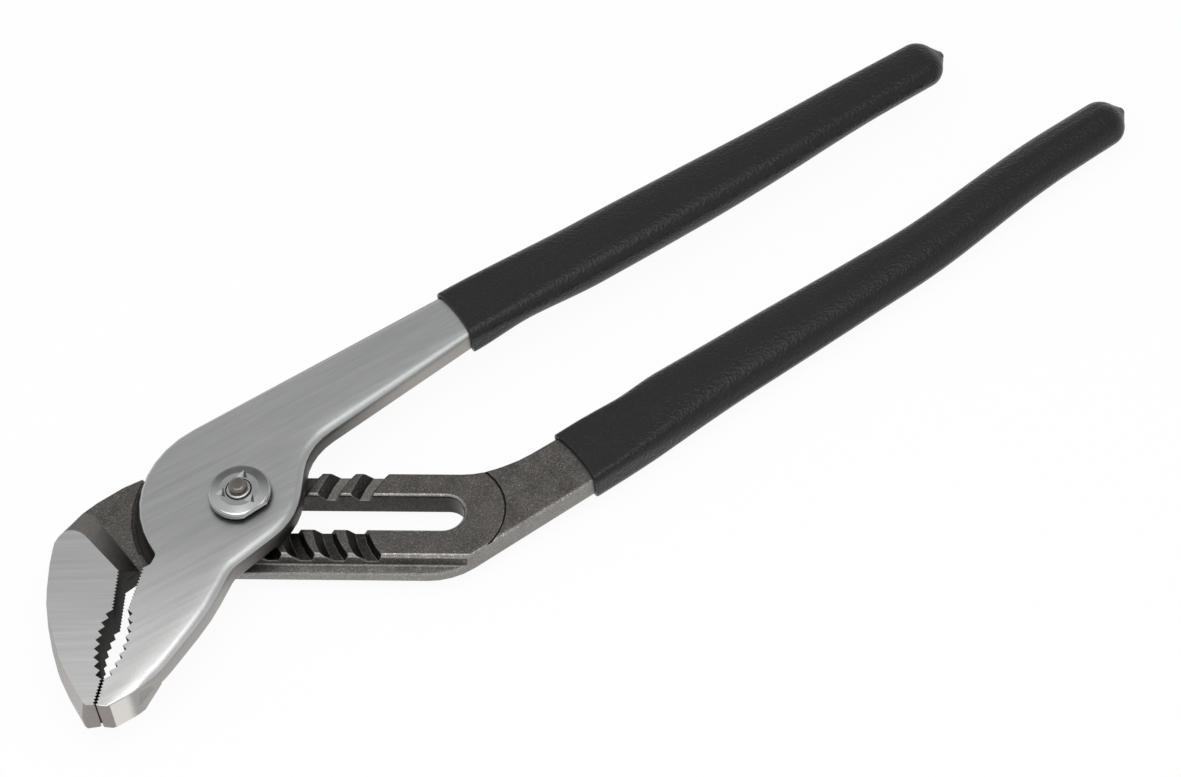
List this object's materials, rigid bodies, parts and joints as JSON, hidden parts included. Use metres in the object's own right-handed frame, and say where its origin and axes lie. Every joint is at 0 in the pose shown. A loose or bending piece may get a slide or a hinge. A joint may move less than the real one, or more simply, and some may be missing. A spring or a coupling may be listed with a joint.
{
  "type": "water pump pliers",
  "caption": "Adjustable water pump pliers: a front lever turns on a bolt that slides along the slotted rear lever, with a tongue in arc grooves, toothed jaws and dipped handle sleeves.",
  "frame": {"origin": "bottom centre of the bounding box, with the pliers lying flat on the bolt's head, jaws closed in the first seat", "axes": "+X runs along the handles, away from the jaws; +Y goes from the slotted lever's handle to the front lever's handle; +Z comes out of the front lever's front face"},
  "size_m": [0.3088, 0.077, 0.0215],
  "materials": {
    "forged_steel": "dark forged, fine grain",
    "brushed_steel": "satin, ground along the lever",
    "plated_steel": "bright plated",
    "dipped_vinyl": "black, fine leathery grain"
  },
  "bodies": {
    "rear": {"slotted_lever": "forged_steel", "rear_grip": "dipped_vinyl"},
    "pivot": {"pivot_bolt": "plated_steel", "pivot_nut": "plated_steel"},
    "front": {"front_lever": "brushed_steel", "front_grip": "dipped_vinyl"}
  },
  "joints": [
    {"name": "adjust_slide", "type": "slide", "parent": "rear", "child": "pivot", "axis": [0.749, -0.6626, 0], "range_m": [0, 0.0495]},
    {"name": "jaw_hinge", "type": "hinge", "parent": "pivot", "child": "front", "pos_m": [-0.09016, 0.01283, 0.0164], "axis": [0, 0, 1], "range_deg": [0, 55]}
  ]
}
